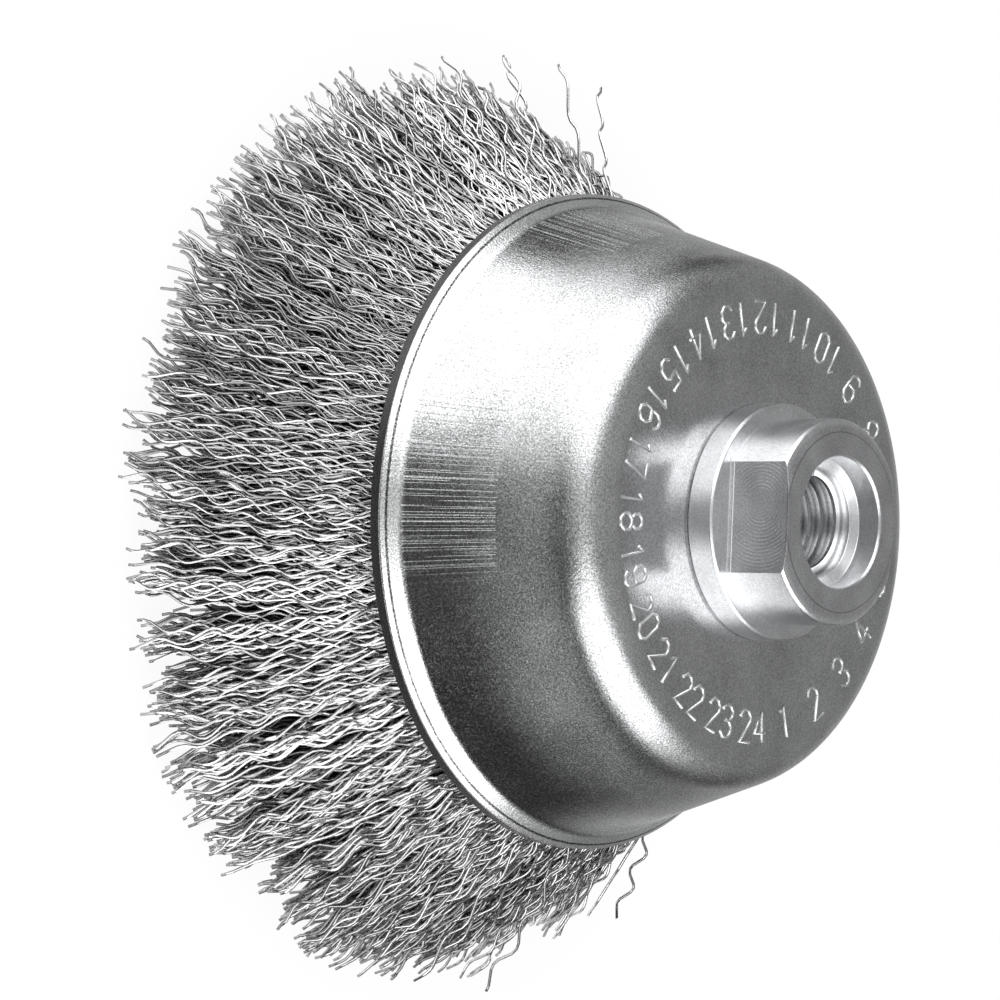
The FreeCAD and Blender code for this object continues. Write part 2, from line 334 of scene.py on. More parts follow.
def plated_sheet(nodes):
    """Zinc-plated pressed sheet: drawing lines up the wall and fine grain all over, and a lip
    lighter as a painted highlight.
    """
    place = nodes.place()
    x, y, z, radius = nodes.parts(place)
    around = nodes.vector(x / radius, y / radius, z * DRAWN_STRETCH)
    lines = nodes.noise(around, DRAWN_SPACING, 1.0, 0.6).rise(*DRAWN_CUT)
    worn = 0.0
    for bearing, width, strength in DRAWN_ZONES:
        towards = direction(bearing, 0)
        facing = (x * towards.x + y * towards.y) / radius
        worn = facing.rise(math.cos(math.radians(width)), 1.0) * strength + worn
    on_band = z.between(DRAWN_LOW, DRAWN_HIGH, DRAWN_BLUR)
    drawn = lines * on_band * (worn + DRAWN_EVERYWHERE).math("MINIMUM", 1.0)

    grain = nodes.noise(place, GRAIN_SIZE, 3.0, 0.65)
    speck = nodes.noise(place, SPECK_SIZE, 2.0, 0.6).rise(*SPECK_CUT)
    frosted = nodes.noise(place, FROST_SIZE, 2.0, 0.7).rise(*FROST_CUT)
    clouds = nodes.noise(place, CLOUD_SIZE, 3.0, 0.6)
    on_wall = radius.rise(*CROWN_TO_WALL)
    cut_edge = radius.rise(*CUT_EDGE_RADIUS) * (1 - z.rise(*CUT_EDGE_TOP))
    on_lip = 1 - z.rise(*LIP_TOP)
    lip_line = on_lip * radius.near(LIP_LINE, LIP_LINE_REACH, LIP_LINE_BLUR)
    dull = z.rise(*DULL_RISE) * on_wall * (1 - z.rise(*SHINY_RISE) * 0.6)

    # The lip's tone is raised as a painted highlight
    tone = 0.55 + clouds.sway(0.4) + (speck - 0.5) * (0.3 + on_wall * 0.25) + on_lip * 0.35
    tone = (tone - lip_line * 0.8) * (1 - cut_edge * 0.97)
    roughness = (0.17 + clouds * 0.06 + dull * 0.2 + drawn * 0.32 + on_lip * 0.02
                 + frosted * on_wall * 0.11)
    grainy = nodes.bump(grain * (0.35 + on_wall * 0.6), GRAIN_HEIGHT)
    return {
        "Base Color": nodes.tint(tone, SHEET_DARK, SHEET_LIGHT),
        "Roughness": roughness,
        "Normal": nodes.bump(drawn, DRAWN_DEPTH, grainy),
    }


# Finish of the nut: sizes of its speckle, its patches and its turning rings
SPECKLE_SIZE, PATCH_SIZE, TURNING_SIZE = 0.25 * MM, 4 * MM, 0.12 * MM
SPECKLE_HEIGHT, TURNING_DEPTH = 0.01 * MM, 0.002 * MM
NUT_DARK, NUT_LIGHT = (0.30, 0.30, 0.31), (0.90, 0.91, 0.92)
# Cutter marks on the flats: arcs round a point, one to each feed, fading out at their middle
CUTTER_ARC_X, CUTTER_ARC_Z = -1.6 * MM, COLLAR_TOP + 4.6 * MM
CUTTER_FEED, CUTTER_DEPTH = 0.45 * MM, 0.02 * MM
CUTTER_BREAK_SIZE, CUTTER_BREAK = 1.1 * MM, (0.3, 0.6)
CUTTER_MIDDLE = (0.8 * MM, 2.4 * MM)
# The foot of each flat, a small fillet with a painted highlight along it: on the collar, up the
# flat, and how far to each side
FOOT_ON_COLLAR = (0.42 * MM, 0.5 * MM)
FOOT_ON_FLAT = (COLLAR_TOP + 0.12 * MM, COLLAR_TOP + 0.26 * MM)
FOOT_BLUR, FOOT_SIDE = 0.05 * MM, (7.2 * MM, 7.5 * MM)
# Line turned into the end face
END_LINE, END_LINE_REACH, END_LINE_BLUR = 11.3 * MM, 0.06 * MM, 0.05 * MM
# Limits of the flats, the collar, the end face, the mouth and the bore
OFF_FLAT = (0.01 * MM, 0.03 * MM)
ABOVE_COLLAR = (COLLAR_TOP, COLLAR_TOP + 0.1 * MM)
END_FACE = (NUT_TOP - 0.4 * MM, NUT_TOP - 0.2 * MM)
OUT_OF_MOUTH = (MOUTH_RADIUS + 0.05 * MM, MOUTH_RADIUS + 0.2 * MM)
OUT_OF_BORE = (THREAD_ROOT + 0.05 * MM, THREAD_ROOT + 0.1 * MM)
BORE_TOP = (NUT_TOP - 6 * MM, NUT_TOP - 5 * MM)


def turned_steel(nodes):
    """Turned and plated nut: turning rings, cutter arcs on the flats and fine speckle, with
    painted shade in the bore and a painted highlight at the foot of each flat.
    """
    place = nodes.place()
    x, y, z, radius = nodes.parts(place)
    speckle = nodes.noise(place, SPECKLE_SIZE, 3.0, 0.6)
    patches = nodes.noise(place, PATCH_SIZE, 2.0, 0.5)
    turning = nodes.noise(nodes.vector(radius, z, 0.0), TURNING_SIZE, 2.0, 0.6)

    above_collar = z.rise(*ABOVE_COLLAR)
    off_flat = (y.math("ABSOLUTE") - FLAT_DISTANCE).math("ABSOLUTE")
    on_flat = (1 - off_flat.rise(*OFF_FLAT)) * above_collar
    arc_x = x - CUTTER_ARC_X
    arc_z = z - CUTTER_ARC_Z
    arc_radius = (arc_x * arc_x + arc_z * arc_z) ** 0.5
    arcs = (arc_radius * (2 * math.pi / CUTTER_FEED)).math("SINE") * 0.5 + 0.5
    broken = nodes.noise(place, CUTTER_BREAK_SIZE, 2.0, 0.6).rise(*CUTTER_BREAK)
    marks = arcs * broken * arc_radius.rise(*CUTTER_MIDDLE)

    on_end = z.rise(*END_FACE)
    end_line = radius.near(END_LINE, END_LINE_REACH, END_LINE_BLUR) * on_end
    in_mouth = 1 - radius.rise(*OUT_OF_MOUTH)
    # Painted shade deep in the bore, darkening its colour
    bore_shade = (1 - radius.rise(*OUT_OF_BORE)) * (1 - z.rise(*BORE_TOP))
    # Painted highlight along the fillet at the foot of each flat, which is also bumped and
    # rougher
    foot = off_flat.between(*FOOT_ON_COLLAR, FOOT_BLUR) * (1 - above_collar)
    foot = foot + on_flat * z.between(*FOOT_ON_FLAT, FOOT_BLUR)
    foot = foot * (1 - x.math("ABSOLUTE").rise(*FOOT_SIDE))

    tone = (0.45 + patches.sway(0.5) + speckle.sway(1.1) + in_mouth * 0.2 + (1 - on_end) * 0.22
            - on_flat * 0.36 - end_line * 0.6 + foot - bore_shade * 0.6)
    turned = nodes.bump(turning * (1 - on_flat), TURNING_DEPTH,
                        nodes.bump(speckle, SPECKLE_HEIGHT))
    return {
        "Base Color": nodes.tint(tone, NUT_DARK, NUT_LIGHT),
        "Roughness": 0.27 + patches * 0.1 + on_flat * 0.16 + foot * 0.2,
        "Normal": nodes.bump(marks * on_flat + foot * 4, CUTTER_DEPTH, turned),
    }


# Finish of the thread: sizes of its drag lines and speckle, and where painted shade darkens its
# root
DRAG_LINE_SIZE, THREAD_SPECKLE_SIZE = 0.1 * MM, 0.3 * MM
THREAD_DARK, THREAD_LIGHT = (0.1, 0.1, 0.1), (0.92, 0.93, 0.94)
THREAD_SHADE = (6.45 * MM, 6.85 * MM)


def thread_steel(nodes):
    """Cut thread: bright crests with drag lines along the flanks, and roots darkened by painted
    shade.
    """
    place = nodes.place()
    _, _, z, radius = nodes.parts(place)
    lines = nodes.noise(nodes.vector(radius, z, 0.0), DRAG_LINE_SIZE, 2.0, 0.6)
    speckle = nodes.noise(place, THREAD_SPECKLE_SIZE, 2.0, 0.5)
    # Painted shade in the thread's root
    root_shade = radius.rise(*THREAD_SHADE)
    tone = (0.6 + lines * 0.6) * (1 - root_shade * 0.65)
    return {
        "Base Color": nodes.tint(tone, THREAD_DARK, THREAD_LIGHT),
        "Roughness": 0.18 + speckle * 0.14,
        "Normal": nodes.bump(lines, TURNING_DEPTH),
    }


# Finish of the inner plate: sizes of its clouds and its grain
DULL_CLOUD_SIZE, DULL_GRAIN_SIZE = 6 * MM, 0.4 * MM
DULL_DARK, DULL_LIGHT = (0.38, 0.39, 0.40), (0.60, 0.61, 0.62)


def inner_sheet(nodes):
    """Plated sheet inside the brush, duller and cloudy."""
    place = nodes.place()
    clouds = nodes.noise(place, DULL_CLOUD_SIZE, 3.0, 0.6)
    grain = nodes.noise(place, DULL_GRAIN_SIZE, 2.0, 0.6)
    return {
        "Base Color": nodes.tint(clouds, DULL_DARK, DULL_LIGHT),
        "Roughness": 0.3 + clouds * 0.15,
        "Normal": nodes.bump(grain, GRAIN_HEIGHT * 0.4),
    }


# Finish of the holding ring: sizes of its die lines and its spots
DIE_LINE_SIZE, SPOT_SIZE = 0.15 * MM, 2 * MM
RING_DARK, RING_LIGHT = (0.30, 0.30, 0.31), (0.50, 0.50, 0.51)


def drawn_wire(nodes):
    """Plain drawn wire of the holding ring, with die lines along it."""
    place = nodes.place()
    _, _, z, radius = nodes.parts(place)
    lines = nodes.noise(nodes.vector(radius, z, 0.0), DIE_LINE_SIZE, 2.0, 0.6)
    spots = nodes.noise(place, SPOT_SIZE, 2.0, 0.5)
    return {
        "Base Color": nodes.tint(spots, RING_DARK, RING_LIGHT),
        "Roughness": 0.3 + spots * 0.15,
        "Normal": nodes.bump(lines, TURNING_DEPTH),
    }


# Finish of the wires: size of the scale on them, and heights that their tips brighten over
SCALE_SIZE = 0.8 * MM
TIP_BRIGHTENING = (0.5 * MM, 4 * MM)
WIRE_DARK, WIRE_LIGHT = (0.08, 0.08, 0.08), (0.95, 0.95, 0.95)


def crimped_wire(nodes):
    """Bright stainless wire: each wire has a tone of its own with its painted shade by depth, and
    no tip is dark.
    """
    tone = nodes.add("ShaderNodeAttribute", {"attribute_name": "tone"}, output="Fac")
    place = nodes.place()
    scale = nodes.noise(place, SCALE_SIZE, 2.0, 0.6)
    _, _, z, _ = nodes.parts(place)
    # Towards the tips the painted depth shade is lifted, so that no tip is dark
    tip = 1 - z.rise(*TIP_BRIGHTENING)
    tone = tone.math("MAXIMUM", tip * 0.5) * (0.8 + scale * 0.4)
    return {
        "Base Color": nodes.tint(tone, WIRE_DARK, WIRE_LIGHT),
        "Roughness": 0.2 + scale * 0.14,
    }


# Finish of the stamped numbers: size of the wear on their burr
WEAR_SIZE = 0.5 * MM
BURR_DARK, BURR_LIGHT = (0.66, 0.67, 0.68), (0.88, 0.88, 0.88)


def stamped_edge(nodes):
    """Bright burr that the number stamps raised."""
    wear = nodes.noise(nodes.place(), WEAR_SIZE, 2.0, 0.6)
    return {
        "Base Color": nodes.tint(wear, BURR_DARK, BURR_LIGHT),
        "Roughness": 0.3 + wear * 0.15,
    }


# Cup and spindle nut

def turned_piece(name, outline):
    """A closed turned piece: a circle drawn out from corner to corner of (radius, height)."""
    deselect_all()
    radius, height = outline[0]
    bpy.ops.mesh.primitive_circle_add(vertices=TURNED_STEPS, radius=radius,
                                      location=(0, 0, height))
    piece = bpy.context.object
    piece.name = piece.data.name = name
    bpy.ops.object.mode_set(mode="EDIT")
    bpy.ops.mesh.select_all(action="SELECT")
    for before, after in zip(outline, outline[1:] + outline[:1]):
        rise = (0, 0, after[1] - before[1])
        bpy.ops.mesh.extrude_region_move(TRANSFORM_OT_translate={"value": rise})
        grow = after[0] / before[0]
        bpy.ops.transform.resize(value=(grow, grow, 1), center_override=(0, 0, after[1]))
    bpy.ops.mesh.select_all(action="SELECT")
    bpy.ops.mesh.remove_doubles(threshold=MERGE_DISTANCE)
    bpy.ops.mesh.normals_make_consistent(inside=False)
    bpy.ops.object.mode_set(mode="OBJECT")
    settle(piece)
    return piece


def rounded(corners):
    """An outline from (radius, height, bend) corners, each rounded by its bend."""
    outline = []
    for place, (radius, height, bend) in enumerate(corners):
        corner = Vector((radius, height))
        if not bend:
            outline.append((radius, height))
            continue
        before = (Vector(corners[place - 1][:2]) - corner).normalized()
        after = (Vector(corners[(place + 1) % len(corners)][:2]) - corner).normalized()
        half = math.acos(before.dot(after)) / 2
        middle = corner + (before + after).normalized() * (bend / math.sin(half))
        start = corner + before * (bend / math.tan(half)) - middle
        end = corner + after * (bend / math.tan(half)) - middle
        side = 1 if start.x * end.y > start.y * end.x else -1
        for step in range(BEND_STEPS + 1):
            turn = side * (math.pi - 2 * half) * step / BEND_STEPS
            point = middle + Matrix.Rotation(turn, 2) @ start
            outline.append((point.x, point.y))
    return outline


def make_cup():
    """The pressed cup, its lip's upper side a cone from the wall out to the cut edge."""
    lean = math.tan(WALL_LEAN)
    inset = (1 - math.sin(WALL_LEAN)) / math.cos(WALL_LEAN)
    foot = RIM_RADIUS - LIP_FLAT - LIP_BEND * inset
    shoulder = foot - (CROWN - RIM_PLANE) * lean
    cup = turned_piece("pressed_cup", rounded([
        (SPIGOT_RADIUS, CROWN, 0),
        (shoulder, CROWN, SHOULDER_BEND),
        (foot - LIP_HEIGHT * lean, RIM_PLANE + LIP_HEIGHT, LIP_FOOT_BEND),
        (RIM_RADIUS, RIM_PLANE + LIP_EDGE_RISE, LIP_EDGE_BEND),
        (RIM_RADIUS, CUP_FOOT, LIP_UNDER_BEND),
        (foot - SHEET * inset, CUP_FOOT, LIP_BEND + SHEET),
        (shoulder - SHEET * inset, CROWN - SHEET, SHOULDER_BEND - SHEET),
        (SPIGOT_RADIUS, CROWN - SHEET, 0),
    ]))
    smoothed(cup, 28)
    finish_piece(cup, metal(plated_sheet))
    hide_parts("cup")


def cut_box(piece, low, high):
    """Take a box, from its low to its high corner, out of the piece."""
    deselect_all()
    middle = [(a + b) / 2 for a, b in zip(low, high)]
    bpy.ops.mesh.primitive_cube_add(size=1, location=middle,
                                    scale=[b - a for a, b in zip(low, high)])
    cutter = bpy.context.object
    applied(piece, "BOOLEAN", operation="DIFFERENCE", solver="EXACT", object=cutter)
    bpy.data.objects.remove(cutter)


def nut_blank():
    """The nut before its thread, with wrench flats and broken edges."""
    plate_under = CROWN - 2 * SHEET
    cone_top = NUT_TOP - MOUTH_DEPTH
    cone_share = (MOUTH_RADIUS - THREAD_ROOT) / (MOUTH_RADIUS - THREAD_CREST)
    blank = turned_piece("spindle_nut_turned", [
        (THREAD_ROOT, NUT_FOOT),
        (RIVET_RADIUS - EDGE_BREAK, NUT_FOOT),
        (RIVET_RADIUS, NUT_FOOT + EDGE_BREAK),
        (RIVET_RADIUS, plate_under),
        (SPIGOT_RADIUS, plate_under),
        (SPIGOT_RADIUS, CROWN),
        (COLLAR_RADIUS - EDGE_BREAK, CROWN),
        (COLLAR_RADIUS, CROWN + EDGE_BREAK),
        (COLLAR_RADIUS, COLLAR_TOP - EDGE_BREAK),
        (COLLAR_RADIUS - EDGE_BREAK, COLLAR_TOP),
        (BODY_RADIUS, COLLAR_TOP),
        (BODY_RADIUS, NUT_TOP - END_CHAMFER_HEIGHT - EDGE_BREAK),
        (BODY_RADIUS - EDGE_BREAK, NUT_TOP - END_CHAMFER_HEIGHT),
        (BODY_RADIUS - END_CHAMFER_WIDTH, NUT_TOP),
        (MOUTH_RADIUS + EDGE_BREAK, NUT_TOP),
        (MOUTH_RADIUS, NUT_TOP - EDGE_BREAK),
        (MOUTH_RADIUS, cone_top),
        (THREAD_ROOT, cone_top - MOUTH_CONE * cone_share),
    ])
    for low, high in ((FLAT_DISTANCE, COLLAR_RADIUS), (-COLLAR_RADIUS, -FLAT_DISTANCE)):
        cut_box(blank, (-COLLAR_RADIUS, low, COLLAR_TOP), (COLLAR_RADIUS, high, NUT_TOP + MM))
    applied(blank, "BEVEL", width=EDGE_BEVEL, segments=3, limit_method="ANGLE",
            angle_limit=math.radians(24))
    smoothed(blank, 32)
    return blank


def thread_ridge():
    """The ridge of the internal thread, wound from its tooth's section and closed."""
    tooth_root = THREAD_PITCH * TOOTH_ROOT_SHARE + 2 * THREAD_IN_WALL * math.tan(THREAD_FLANK)
    tooth_crest = THREAD_PITCH * TOOTH_CREST_SHARE
    depth = THREAD_ROOT + THREAD_IN_WALL - THREAD_CREST
    first = NUT_FOOT + tooth_root / 2
    turns = (NUT_TOP - MOUTH_DEPTH - MOUTH_CONE - tooth_crest - first) / THREAD_PITCH
    steps = round(THREAD_STEPS_A_TURN * turns)
    deselect_all()
    bpy.ops.mesh.primitive_plane_add(size=1, location=(THREAD_CREST + depth / 2, 0, first),
                                     rotation=(math.pi / 2, 0, 0))
    ridge = bpy.context.object
    ridge.scale = (depth, tooth_root, 1)
    ridge.name = ridge.data.name = "thread_ridge"
    settle(ridge)
    for corner in ridge.data.vertices:
        corner.select = corner.co.x < THREAD_CREST + depth / 2
    bpy.ops.object.mode_set(mode="EDIT")
    bpy.ops.transform.resize(value=(1, 1, tooth_crest / tooth_root),
                             center_override=(0, 0, first))
    bpy.ops.mesh.select_all(action="SELECT")
    bpy.ops.mesh.delete(type="ONLY_FACE")
    bpy.ops.object.mode_set(mode="OBJECT")
    applied(ridge, "SCREW", axis="Z", angle=2 * math.pi * turns,
            screw_offset=THREAD_PITCH * turns, steps=steps, render_steps=steps)
    bpy.ops.object.mode_set(mode="EDIT")
    bpy.ops.mesh.select_all(action="SELECT")
    bpy.ops.mesh.remove_doubles(threshold=MERGE_DISTANCE / 10)
    bpy.ops.mesh.select_all(action="DESELECT")
    bpy.ops.mesh.select_non_manifold()
    bpy.ops.mesh.edge_face_add()
    bpy.ops.mesh.select_all(action="SELECT")
    bpy.ops.mesh.normals_make_consistent(inside=False)
    bpy.ops.object.mode_set(mode="OBJECT")
    bpy.ops.object.shade_smooth_by_angle(angle=math.radians(28))
    return ridge


def make_spindle_nut():
    blank = nut_blank()
    finish_piece(blank, metal(turned_steel))
    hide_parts("spindle_nut")
    finish_piece(thread_ridge(), metal(thread_steel))


# Stamped numbers round the crown

NUMERAL_STROKES = {
    "0": [[(0, 0.7), (0.6, 0), (1.4, 0), (2, 0.7), (2, 3.3), (1.4, 4), (0.6, 4), (0, 3.3),
           (0, 0.7)]],
    "1": [[(0.4, 3.3), (1.1, 4), (1.1, 0)]],
    "2": [[(0, 3.2), (0.6, 4), (1.4, 4), (2, 3.3), (2, 2.6), (0, 0), (2, 0)]],
    "3": [[(0, 3.4), (0.6, 4), (1.4, 4), (2, 3.4), (2, 2.7), (1.4, 2.1), (0.8, 2.1)],
          [(1.4, 2.1), (2, 1.5), (2, 0.6), (1.4, 0), (0.6, 0), (0, 0.6)]],
    "4": [[(1.5, 0), (1.5, 4), (0, 1.2), (2.1, 1.2)]],
    "5": [[(1.9, 4), (0.1, 4), (0, 2.3), (1.4, 2.5), (2, 1.9), (2, 0.7), (1.4, 0), (0.6, 0),
           (0, 0.6)]],
    "6": [[(1.9, 3.4), (1.4, 4), (0.6, 4), (0, 3.3), (0, 0.7), (0.6, 0), (1.4, 0), (2, 0.7),
           (2, 1.6), (1.4, 2.3), (0, 2)]],
    "7": [[(0, 4), (2, 4), (0.8, 0)]],
    "8": [[(0.7, 2.1), (0, 1.5), (0, 0.7), (0.6, 0), (1.4, 0), (2, 0.7), (2, 1.5), (1.3, 2.1),
           (0.7, 2.1), (0.1, 2.7), (0.1, 3.4), (0.6, 4), (1.4, 4), (1.9, 3.4), (1.9, 2.7),
           (1.3, 2.1)]],
    "9": [[(0.1, 0.6), (0.6, 0), (1.4, 0), (2, 0.7), (2, 3.3), (1.4, 4), (0.6, 4), (0, 3.3),
           (0, 2.4), (0.6, 1.7), (2, 2)]],
}
STROKE_UNITS_WIDE, STROKE_UNITS_HIGH = 2, 4
STROKE_UNIT = 4.1 * MM / STROKE_UNITS_HIGH
STROKE_RADIUS = 0.23 * MM
NUMERAL_RADIUS = 25.9 * MM
NUMERAL_SPACING = 2.9 * MM
NUMBER_COUNT = 24


def numeral(digit):
    """One raised numeral round the origin, its strokes half sunk."""
    line = bpy.data.curves.new(f"numeral_{digit}", "CURVE")
    line.dimensions = "3D"
    line.bevel_depth = STROKE_RADIUS
    line.bevel_resolution = 1
    line.use_fill_caps = True
    for stroke in NUMERAL_STROKES[digit]:
        spline = line.splines.new("POLY")
        spline.points.add(len(stroke) - 1)
        for point, (across, up) in zip(spline.points, stroke):
            point.co = ((across - STROKE_UNITS_WIDE / 2) * STROKE_UNIT,
                        (up - STROKE_UNITS_HIGH / 2) * STROKE_UNIT, 0, 1)
    piece = bpy.data.objects.new(line.name, line)
    bpy.context.collection.objects.link(piece)
    select_only(piece)
    bpy.ops.object.convert(target="MESH")
    return bpy.context.object


def make_numbers():
    """Counting numbers round the crown, their feet away from the spindle."""
    numerals = {digit: numeral(digit) for digit in NUMERAL_STROKES}
    copies = []
    for number in range(1, NUMBER_COUNT + 1):
        digits = str(number)
        for place, digit in enumerate(digits):
            shift = (place - (len(digits) - 1) / 2) * NUMERAL_SPACING
            bearing = 2 * math.pi * number / NUMBER_COUNT + shift / NUMERAL_RADIUS
            copy = numerals[digit].copy()
            copy.data = copy.data.copy()
            bpy.context.collection.objects.link(copy)
            copy.matrix_world = (Matrix.Rotation(bearing, 4, "Z")
                                 @ Matrix.Translation((NUMERAL_RADIUS, 0, CROWN))
                                 @ Matrix.Rotation(math.pi / 2, 4, "Z"))
            copies.append(copy)
    for piece in numerals.values():
        bpy.data.objects.remove(piece)
    numbers = joined(copies, "stamped_numbers")
    settle(numbers)
    finish_piece(numbers, metal(stamped_edge))


# Crimped wires

WIRE_SIDES = 3
WIRE_RADIUS = 0.23 * MM
SECTORS = 8
# Groups: wires, lowest and highest depth, rings in a wire, and corners in a wave
WIRE_GROUPS = ((2900, 0.0, 0.2, 34, 6), (2200, 0.2, 0.8, 9, 2), (1400, 0.8, 1.0, 13, 2))
FOLDS = 960
# Stray wires: bearing from the near side in degrees, and height of the tip in mm
STRAYS = ((80, 7), (86, 12), (91, 8), (97, 14), (103, 12), (61, 3), (38, 2), (22, 4), (-18, 2),
          (-40, 3), (-66, 4), (-79, 9), (-92, 13), (150, 9), (205, 14), (240, 7))
STRAY_RINGS, STRAY_WAVE_CORNERS = 34, 6
STRAY_DROP = 1.5 * MM
# Folds over the holding ring: bends in degrees, and what the legs stop short by
FOLD_BENDS = (0, 36, 72, 108, 144, 180)
FOLD_LEG_GAP = 1 * MM

# Crimps: length and height of a wave, and the share and swing of each corner in a wave
CRIMP_WAVE = 6.8 * MM
CRIMP_SWING = 0.6 * MM
CRIMP_START, LEAST_CRIMP = 5 * MM, 0.15
CRIMP_PLANE = math.radians(34)
WAVE_SPREAD, SWING_SPREAD = 0.06, 0.18
CLUMP_PHASE, OWN_PHASE = 0.9, 0.17
CUT_SHARE = (0.35, 1.0)
HIDDEN_LENGTH = 2.0 * MM
WAVES = {
    6: (np.array([0.12, 0.12, 0.20, 0.12, 0.12, 0.32]),
        np.array([0.74, 1.0, 0.74, -0.74, -1.0, -0.74])),
    2: (np.array([0.44, 0.56]), np.array([1.0, -1.0])),
}

# Route of a wire: down the channel, over a knee, and straight to its tip
LAYER_REACH = (1.9 * MM, 4.75 * MM)
KNEE_LENGTH = 9.0 * MM
HELIX = -0.07
# Clumps of wires that lie alike
CLUMPS_ROUND, CLUMPS_DEEP = 66, 9
BLUR_ROUND, BLUR_DEEP = 0.35, 0.3
CLUMP_DRAWS = 6
CLUMP_PULL, CLUMP_PULL_LIMIT = 0.7, 0.06
CLUMP_SWAY, OWN_SWAY, LOOSE_SWAY = 0.014, 0.011, 0.034
SWAY_BEND = 1.4
LOOSE_SHARE = 0.1
# Tips: where the wire face lies and how far its wires stray from it
FACE_OUTER, FACE_INNER = FLARE_RADIUS + 1.9 * MM, 36.8 * MM
WIDEST_TIP = FLARE_RADIUS + 3.1 * MM
FAR_SHRINK, FAR_START, FAR_SLOPE = 3.2 * MM, 0.25, 2.2
FLARE_SLOPE = 0.55
TIP_HEIGHT_SPREAD = 1.2 * MM
TIP_RADIUS_SPREAD, CLUMP_RADIUS_SPREAD = 1.0 * MM, 1.1 * MM
LOOSE_REACH, LOOSE_HEIGHT_SHARE = 1.2 * MM, 0.3
LOWEST_TIP, TALLEST_TIP = 0.25 * MM, 9.0 * MM
# Painted shade: how bright a wire is painted by its depth under the nearer face of the ring of
# wires
PAINTED_SHADE_DEPTHS = (0.0, 0.07, 0.18, 0.35)
PAINTED_SHADE_LEVELS = (1.0, 0.66, 0.15, 0.0)
# Random tones of the wires, the folds and the strays; the folds' tones are lower as painted shade
WIRE_TONES, SHADED_FOLD_TONES, STRAY_TONES = (0.5, 1.0), (0.2, 0.6), (0.4, 0.9)
# Random draws: those of each wire by itself, and those that the wires of a clump share
chance = np.random.default_rng(11)
clump_chance = np.random.default_rng(5)


def straight_wire(rings):
    """Corners and faces of a straight wire of radius 1, with its rings one unit apart."""
    deselect_all()
    bpy.ops.mesh.primitive_circle_add(vertices=WIRE_SIDES, radius=1, fill_type="NGON")
    wire = bpy.context.object
    bpy.ops.object.mode_set(mode="EDIT")
    bpy.ops.mesh.select_all(action="SELECT")
    for _ in range(rings - 1):
        bpy.ops.mesh.extrude_region_move(TRANSFORM_OT_translate={"value": (0, 0, 1)})
    bpy.ops.mesh.select_all(action="SELECT")
    bpy.ops.mesh.normals_make_consistent(inside=False)
    bpy.ops.object.mode_set(mode="OBJECT")
    corners = np.array([corner.co for corner in wire.data.vertices])
    faces = [list(face.vertices) for face in wire.data.polygons]
    bpy.data.objects.remove(wire)
    return corners, faces


def unit(vectors):
    return vectors / np.linalg.norm(vectors, axis=-1, keepdims=True)


def column(values):
    """The values as a column, one row to each wire."""
    return np.asarray(values)[:, None]


def clumps(bearings, depths):
    """Each wire's clump round the brush, and the random draws that its clump shares."""
    count = len(bearings)
    round_brush = (bearings / (2 * np.pi) * CLUMPS_ROUND
                   + chance.normal(0, BLUR_ROUND, count))
    round_brush = np.floor(round_brush).astype(int) % CLUMPS_ROUND
    deep = (depths * CLUMPS_DEEP + chance.normal(0, BLUR_DEEP, count)).astype(int)
    deep = np.clip(deep, 0, CLUMPS_DEEP - 1)
    draws = clump_chance.normal(0, 1, (CLUMP_DRAWS, CLUMPS_ROUND * CLUMPS_DEEP))
    return round_brush, draws[:, round_brush * CLUMPS_DEEP + deep]


def tip_places(bearings, depths, side, draw, stray_tips):
    """Heights and radii of the wires' tips, and which wires are loose in their clump."""
    count = len(bearings)
    loose = chance.uniform(0, 1, count) < LOOSE_SHARE
    height = (chance.exponential(TIP_HEIGHT_SPREAD, count)
              + np.abs(draw[0]) * TIP_HEIGHT_SPREAD)
    height = np.where(loose, LOOSE_HEIGHT_SHARE, 1.0) * np.minimum(height, TALLEST_TIP)
    radius = (FACE_OUTER + (FACE_INNER - FACE_OUTER) * depths + loose * LOOSE_REACH
              + chance.normal(0, TIP_RADIUS_SPREAD, count) + draw[1] * CLUMP_RADIUS_SPREAD)
    facing = NEAR.x * np.cos(bearings) + NEAR.y * np.sin(bearings)
    radius -= FAR_SHRINK * np.clip(FAR_START - facing * FAR_SLOPE, 0, 1)
    radius -= height * FLARE_SLOPE * side
    if stray_tips is not None:
        height = np.array(stray_tips)
        radius = WIDEST_TIP - STRAY_DROP * facing ** 2
    return height, np.minimum(radius, WIDEST_TIP), loose


def crimp_steps(length, draw, rings, wave_corners):
    """How far along its wire each ring lies, and how far it swings off the middle line."""
    count = len(length)
    gaps, swings = WAVES[wave_corners]
    wave = CRIMP_WAVE * chance.normal(1, WAVE_SPREAD, count)
    phase = draw[2] * CLUMP_PHASE + chance.normal(0, OWN_PHASE, count)
    first = np.floor(phase * wave_corners).astype(int)
    step = (column(first) - np.arange(rings)[None, ::-1]) % wave_corners
    spacing = gaps[step] * column(wave)
    cut = chance.uniform(*CUT_SHARE, count)
    spacing[:, -1] *= cut
    travelled = column(length) - np.cumsum(spacing[:, ::-1], axis=1)[:, ::-1] + spacing[:, -1:]
    swing = swings[step] * CRIMP_SWING
    swing[:, -1] = swing[:, -2] + (swing[:, -1] - swing[:, -2]) * cut
    swing *= column(chance.normal(1, SWING_SPREAD, count))
    swing *= np.clip((travelled + HIDDEN_LENGTH) / CRIMP_START, LEAST_CRIMP, 1)
    return travelled, swing


